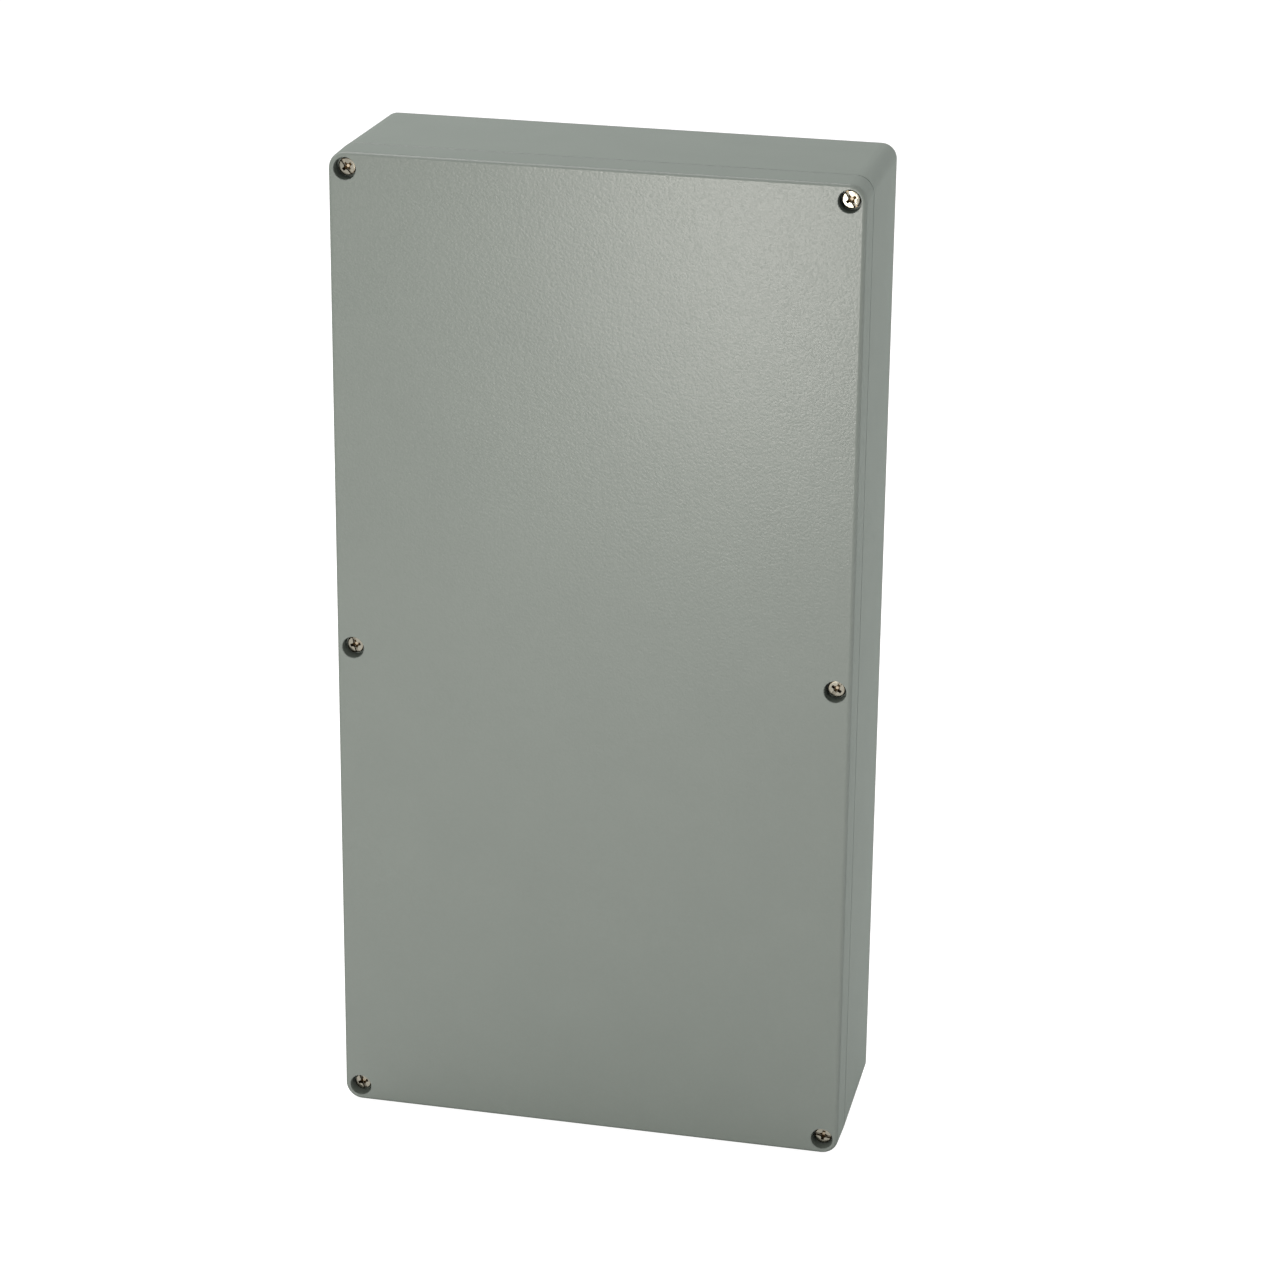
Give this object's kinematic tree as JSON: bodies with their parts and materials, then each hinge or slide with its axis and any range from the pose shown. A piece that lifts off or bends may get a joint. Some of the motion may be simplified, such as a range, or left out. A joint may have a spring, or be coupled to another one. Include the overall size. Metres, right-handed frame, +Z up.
{
  "type": "die-cast enclosure",
  "caption": "Upright die-cast aluminium enclosure with a gasketed lift-off lid, captive cover screws in counterbores and wall fixing holes.",
  "frame": {"origin": "centre of the width and depth, at the lowest point of the upright enclosure", "axes": "+X to the right seen from the front, +Y from the lid towards the wall, +Z up along the height"},
  "size_m": [0.31, 0.11, 0.6],
  "materials": {
    "coated_casting": "grey powder coat with a fine texture, satin",
    "seal_rubber": "matt black",
    "plated_steel": "bright nickel plate",
    "nylon": "natural white",
    "brass": "turned, bright"
  },
  "bodies": {
    "base": {"base": "coated_casting", "earth_washer": "brass", "earth_spring_washer": "plated_steel", "earth_screw": "brass"},
    "lid": {"lid": "coated_casting", "gasket": "seal_rubber", "screw_ring_top_left": "nylon", "screw_ring_top_right": "nylon", "screw_ring_middle_left": "nylon", "screw_ring_middle_right": "nylon", "screw_ring_bottom_left": "nylon", "screw_ring_bottom_right": "nylon"},
    "cover_screw_top_left": {"cover_screw_top_left": "plated_steel"},
    "cover_screw_top_right": {"cover_screw_top_right": "plated_steel"},
    "cover_screw_middle_left": {"cover_screw_middle_left": "plated_steel"},
    "cover_screw_middle_right": {"cover_screw_middle_right": "plated_steel"},
    "cover_screw_bottom_left": {"cover_screw_bottom_left": "plated_steel"},
    "cover_screw_bottom_right": {"cover_screw_bottom_right": "plated_steel"}
  },
  "joints": [
    {"name": "lid_lift", "type": "slide", "parent": "base", "child": "lid", "axis": [0, -1, 0], "range_m": [0, 0.15]},
    {"name": "cover_screw_top_left_turn", "type": "hinge", "parent": "lid", "child": "cover_screw_top_left", "pos_m": [-0.145, -0.04, 0.59], "axis": [0, 1, 0], "continuous": true},
    {"name": "cover_screw_top_right_turn", "type": "hinge", "parent": "lid", "child": "cover_screw_top_right", "pos_m": [0.145, -0.04, 0.59], "axis": [0, 1, 0], "continuous": true},
    {"name": "cover_screw_middle_left_turn", "type": "hinge", "parent": "lid", "child": "cover_screw_middle_left", "pos_m": [-0.145, -0.04, 0.3], "axis": [0, 1, 0], "continuous": true},
    {"name": "cover_screw_middle_right_turn", "type": "hinge", "parent": "lid", "child": "cover_screw_middle_right", "pos_m": [0.145, -0.04, 0.3], "axis": [0, 1, 0], "continuous": true},
    {"name": "cover_screw_bottom_left_turn", "type": "hinge", "parent": "lid", "child": "cover_screw_bottom_left", "pos_m": [-0.145, -0.04, 0.01], "axis": [0, 1, 0], "continuous": true},
    {"name": "cover_screw_bottom_right_turn", "type": "hinge", "parent": "lid", "child": "cover_screw_bottom_right", "pos_m": [0.145, -0.04, 0.01], "axis": [0, 1, 0], "continuous": true}
  ]
}
